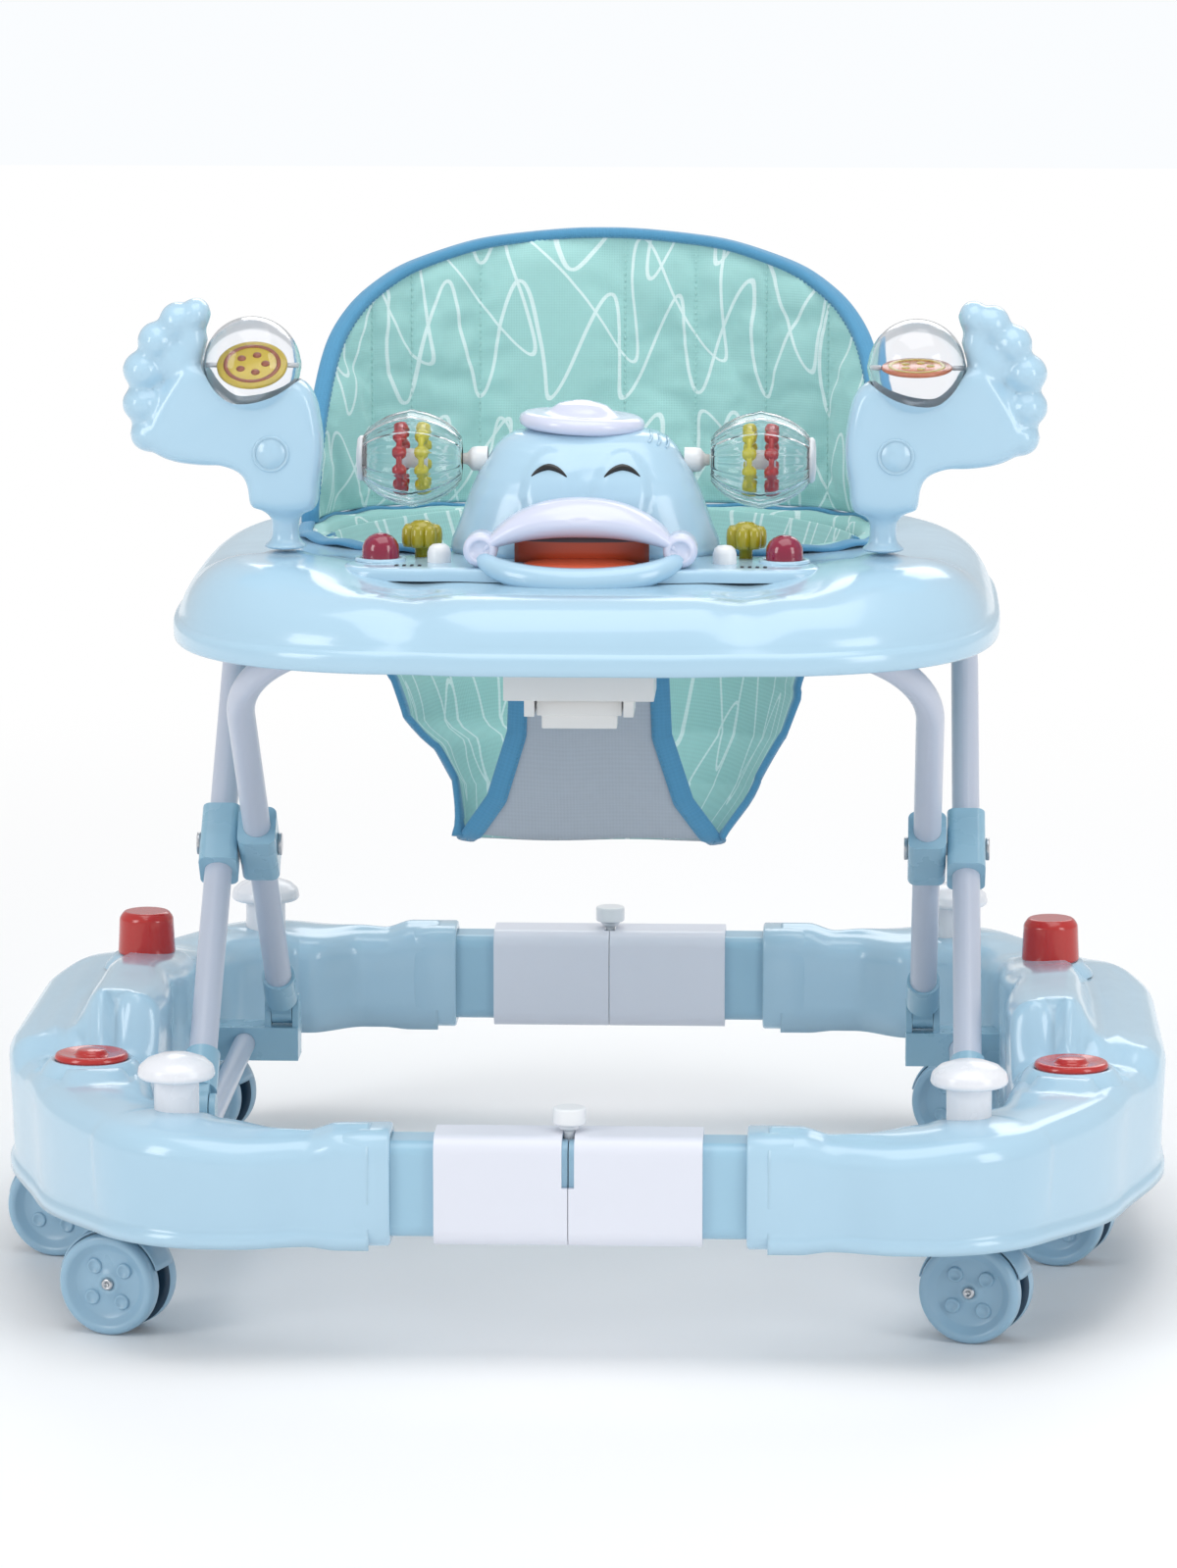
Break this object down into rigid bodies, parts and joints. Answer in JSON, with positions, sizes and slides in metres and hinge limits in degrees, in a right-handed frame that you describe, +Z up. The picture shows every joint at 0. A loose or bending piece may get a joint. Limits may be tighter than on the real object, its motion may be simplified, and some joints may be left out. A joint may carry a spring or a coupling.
{
  "type": "baby walker",
  "caption": "Folding baby walker: rounded base ring on twin casters, crossed tube frame, toy tray with duck-faced play panel and hand rattles, padded fabric seat.",
  "frame": {"origin": "on the floor, under the centre of the bounding box", "axes": "+X to the right when facing +Y, +Y towards the back (the child faces -Y), +Z up"},
  "size_m": [0.7045, 0.6738, 0.6049],
  "materials": {
    "light_blue_plastic": "glossy, moulded",
    "blue_plastic": "satin, moulded",
    "pale_plastic": "satin, pale lavender white",
    "white_plastic": "satin white",
    "red_plastic": "glossy red",
    "coated_steel": "powder coat on steel tube, pale lavender grey",
    "steel_pin": "plain steel",
    "clear_plastic": "clear moulded plastic",
    "yellow_plastic": "printed disc",
    "orange_plastic": "orange red",
    "magenta_plastic": "glossy magenta red",
    "olive_plastic": "glossy olive yellow",
    "wheel_plastic": "moulded, dark inner side",
    "circuit_board": "board and battery box",
    "printed_fabric": "quilted print with blue binding",
    "grey_fabric": "woven, with blue binding"
  },
  "bodies": {
    "base": {"base_shell_left": "light_blue_plastic", "base_shell_right": "light_blue_plastic", "crossbar_inserts": "blue_plastic", "front_sleeve": "pale_plastic", "rear_sleeve": "pale_plastic", "red_caps": "red_plastic", "rail_tubes": "coated_steel", "rail_brackets": "blue_plastic"},
    "front_lock_pin": {"front_lock_pin": "white_plastic"},
    "rear_lock_pin": {"rear_lock_pin": "white_plastic"},
    "front_frame": {"front_tube": "coated_steel", "front_tube_blocks": "blue_plastic", "front_tube_feet": "blue_plastic"},
    "rear_frame": {"rear_tube": "coated_steel", "rear_tube_blocks": "blue_plastic", "rear_tube_feet": "blue_plastic", "cross_pins": "steel_pin"},
    "sliders": {"rail_sliders": "blue_plastic"},
    "tray": {"tray_shell": "light_blue_plastic", "tube_clamps": "blue_plastic", "latch_housing": "white_plastic", "panel_body": "light_blue_plastic", "duck_head": "light_blue_plastic", "duck_hat": "pale_plastic", "duck_mouth": "orange_plastic", "electronics": "circuit_board", "seat_backrest": "printed_fabric", "seat_sling": "grey_fabric"},
    "latch_lever": {"latch_lever": "white_plastic"},
    "duck_bill": {"duck_bill": "pale_plastic"},
    "caster_front_left": {"caster_fork_front_left": "blue_plastic"},
    "wheels_front_left": {"caster_wheels_front_left": "wheel_plastic"},
    "caster_front_right": {"caster_fork_front_right": "blue_plastic"},
    "wheels_front_right": {"caster_wheels_front_right": "wheel_plastic"},
    "caster_mid_left": {"caster_fork_mid_left": "blue_plastic"},
    "wheels_mid_left": {"caster_wheels_mid_left": "wheel_plastic"},
    "caster_mid_right": {"caster_fork_mid_right": "blue_plastic"},
    "wheels_mid_right": {"caster_wheels_mid_right": "wheel_plastic"},
    "caster_rear_left": {"caster_fork_rear_left": "blue_plastic"},
    "wheels_rear_left": {"caster_wheels_rear_left": "wheel_plastic"},
    "caster_rear_right": {"caster_fork_rear_right": "blue_plastic"},
    "wheels_rear_right": {"caster_wheels_rear_right": "wheel_plastic"},
    "brake_post_front_left": {"brake_post_front_left": "white_plastic"},
    "brake_post_front_right": {"brake_post_front_right": "white_plastic"},
    "brake_post_rear_left": {"brake_post_rear_left": "white_plastic"},
    "brake_post_rear_right": {"brake_post_rear_right": "white_plastic"},
    "hand_left": {"hand_left": "light_blue_plastic"},
    "ball_left": {"ball_left": "clear_plastic"},
    "ball_disc_left": {"ball_disc_left": "yellow_plastic"},
    "red_button_left": {"red_button_left": "magenta_plastic"},
    "flower_knob_left": {"flower_knob_left": "olive_plastic"},
    "rattle_left": {"rattle_left": "clear_plastic", "rattle_beads_left": "red_plastic"},
    "hand_right": {"hand_right": "light_blue_plastic"},
    "ball_right": {"ball_right": "clear_plastic"},
    "ball_disc_right": {"ball_disc_right": "orange_plastic"},
    "red_button_right": {"red_button_right": "magenta_plastic"},
    "flower_knob_right": {"flower_knob_right": "olive_plastic"},
    "rattle_right": {"rattle_right": "clear_plastic", "rattle_beads_right": "red_plastic"}
  },
  "joints": [
    {"name": "front_lock_pin_pull", "type": "slide", "parent": "base", "child": "front_lock_pin", "axis": [0, 0, 1], "range_m": [0, 0.012], "stiffness_N_per_m": 300, "springref_m": -0.006},
    {"name": "rear_lock_pin_pull", "type": "slide", "parent": "base", "child": "rear_lock_pin", "axis": [0, 0, 1], "range_m": [0, 0.012], "stiffness_N_per_m": 300, "springref_m": -0.006},
    {"name": "swivel_front_left", "type": "hinge", "parent": "base", "child": "caster_front_left", "pos_m": [-0.25, -0.252, 0.062], "axis": [0, 0, 1], "continuous": true},
    {"name": "roll_front_left", "type": "hinge", "parent": "caster_front_left", "child": "wheels_front_left", "pos_m": [-0.26617, -0.24675, 0.03], "axis": [0.309, 0.9511, 0], "continuous": true},
    {"name": "swivel_front_right", "type": "hinge", "parent": "base", "child": "caster_front_right", "pos_m": [0.25, -0.252, 0.062], "axis": [0, 0, 1], "continuous": true},
    {"name": "roll_front_right", "type": "hinge", "parent": "caster_front_right", "child": "wheels_front_right", "pos_m": [0.23383, -0.24675, 0.03], "axis": [0.309, 0.9511, 0], "continuous": true},
    {"name": "swivel_mid_left", "type": "hinge", "parent": "base", "child": "caster_mid_left", "pos_m": [-0.305, -0.064, 0.062], "axis": [0, 0, 1], "continuous": true},
    {"name": "roll_mid_left", "type": "hinge", "parent": "caster_mid_left", "child": "wheels_mid_left", "pos_m": [-0.32117, -0.05875, 0.03], "axis": [0.309, 0.9511, 0], "continuous": true},
    {"name": "swivel_mid_right", "type": "hinge", "parent": "base", "child": "caster_mid_right", "pos_m": [0.305, -0.064, 0.062], "axis": [0, 0, 1], "continuous": true},
    {"name": "roll_mid_right", "type": "hinge", "parent": "caster_mid_right", "child": "wheels_mid_right", "pos_m": [0.28883, -0.05875, 0.03], "axis": [0.309, 0.9511, 0], "continuous": true},
    {"name": "swivel_rear_left", "type": "hinge", "parent": "base", "child": "caster_rear_left", "pos_m": [-0.25, 0.252, 0.062], "axis": [0, 0, 1], "continuous": true},
    {"name": "roll_rear_left", "type": "hinge", "parent": "caster_rear_left", "child": "wheels_rear_left", "pos_m": [-0.26617, 0.25725, 0.03], "axis": [0.309, 0.9511, 0], "continuous": true},
    {"name": "swivel_rear_right", "type": "hinge", "parent": "base", "child": "caster_rear_right", "pos_m": [0.25, 0.252, 0.062], "axis": [0, 0, 1], "continuous": true},
    {"name": "roll_rear_right", "type": "hinge", "parent": "caster_rear_right", "child": "wheels_rear_right", "pos_m": [0.23383, 0.25725, 0.03], "axis": [0.309, 0.9511, 0], "continuous": true},
    {"name": "brake_post_front_left_press", "type": "slide", "parent": "base", "child": "brake_post_front_left", "axis": [0, 0, -1], "range_m": [0, 0.018]},
    {"name": "brake_post_front_right_press", "type": "slide", "parent": "base", "child": "brake_post_front_right", "axis": [0, 0, -1], "range_m": [0, 0.018]},
    {"name": "brake_post_rear_left_press", "type": "slide", "parent": "base", "child": "brake_post_rear_left", "axis": [0, 0, -1], "range_m": [0, 0.018]},
    {"name": "brake_post_rear_right_press", "type": "slide", "parent": "base", "child": "brake_post_rear_right", "axis": [0, 0, -1], "range_m": [0, 0.018]},
    {"name": "fold", "type": "hinge", "parent": "base", "child": "front_frame", "pos_m": [0, 0.165, 0.107], "axis": [1, 0, 0], "range_deg": [0, 18]},
    {"name": "cross_turn", "type": "hinge", "parent": "front_frame", "child": "rear_frame", "pos_m": [0, 0.01516, 0.24097], "axis": [1, 0, 0], "range_deg": [-36, 0]},
    {"name": "tray_level", "type": "hinge", "parent": "rear_frame", "child": "tray", "pos_m": [0, 0.18438, 0.39228], "axis": [1, 0, 0], "range_deg": [0, 18]},
    {"name": "slider_turn", "type": "hinge", "parent": "rear_frame", "child": "sliders", "pos_m": [0, -0.13468, 0.107], "axis": [1, 0, 0], "range_deg": [0, 18]},
    {"name": "latch_press", "type": "slide", "parent": "tray", "child": "latch_lever", "axis": [0, 0, 1], "range_m": [0, 0.008], "stiffness_N_per_m": 400, "springref_m": -0.004},
    {"name": "hand_left_swivel", "type": "hinge", "parent": "tray", "child": "hand_left", "pos_m": [-0.177, -0.11, 0.44188], "axis": [0, 0, 1], "range_deg": [-45, 45]},
    {"name": "ball_left_spin", "type": "hinge", "parent": "hand_left", "child": "ball_left", "pos_m": [-0.196, -0.11, 0.55088], "axis": [0, 0, 1], "continuous": true},
    {"name": "ball_disc_left_tip", "type": "hinge", "parent": "ball_left", "child": "ball_disc_left", "pos_m": [-0.196, -0.11, 0.55088], "axis": [1, 0, 0], "continuous": true},
    {"name": "red_button_left_press", "type": "slide", "parent": "tray", "child": "red_button_left", "axis": [0, 0, -1], "range_m": [0, 0.0024], "stiffness_N_per_m": 400, "springref_m": -0.001},
    {"name": "flower_knob_left_turn", "type": "hinge", "parent": "tray", "child": "flower_knob_left", "pos_m": [-0.096, -0.113, 0.43778], "axis": [0, 0, 1], "continuous": true},
    {"name": "rattle_left_spin", "type": "hinge", "parent": "tray", "child": "rattle_left", "pos_m": [-0.104, -0.075, 0.49178], "axis": [1, 0, 0], "continuous": true},
    {"name": "hand_right_swivel", "type": "hinge", "parent": "tray", "child": "hand_right", "pos_m": [0.177, -0.11, 0.44188], "axis": [0, 0, 1], "range_deg": [-45, 45]},
    {"name": "ball_right_spin", "type": "hinge", "parent": "hand_right", "child": "ball_right", "pos_m": [0.196, -0.11, 0.55088], "axis": [0, 0, 1], "continuous": true},
    {"name": "ball_disc_right_tip", "type": "hinge", "parent": "ball_right", "child": "ball_disc_right", "pos_m": [0.196, -0.11, 0.55088], "axis": [1, 0, 0], "continuous": true},
    {"name": "red_button_right_press", "type": "slide", "parent": "tray", "child": "red_button_right", "axis": [0, 0, -1], "range_m": [0, 0.0024], "stiffness_N_per_m": 400, "springref_m": -0.001},
    {"name": "flower_knob_right_turn", "type": "hinge", "parent": "tray", "child": "flower_knob_right", "pos_m": [0.096, -0.113, 0.43778], "axis": [0, 0, 1], "continuous": true},
    {"name": "rattle_right_spin", "type": "hinge", "parent": "tray", "child": "rattle_right", "pos_m": [0.104, -0.075, 0.49178], "axis": [1, 0, 0], "continuous": true},
    {"name": "bill_open", "type": "hinge", "parent": "tray", "child": "duck_bill", "pos_m": [0, -0.141, 0.44828], "axis": [-1, 0, 0], "range_deg": [0, 25], "stiffness_Nm_per_rad": 0.4, "springref_deg": -11.46}
  ],
  "couplings": [
    {"joint": "cross_turn", "follows": "fold", "ratio": -2},
    {"joint": "tray_level", "follows": "fold", "ratio": 1},
    {"joint": "slider_turn", "follows": "fold", "ratio": 1}
  ]
}
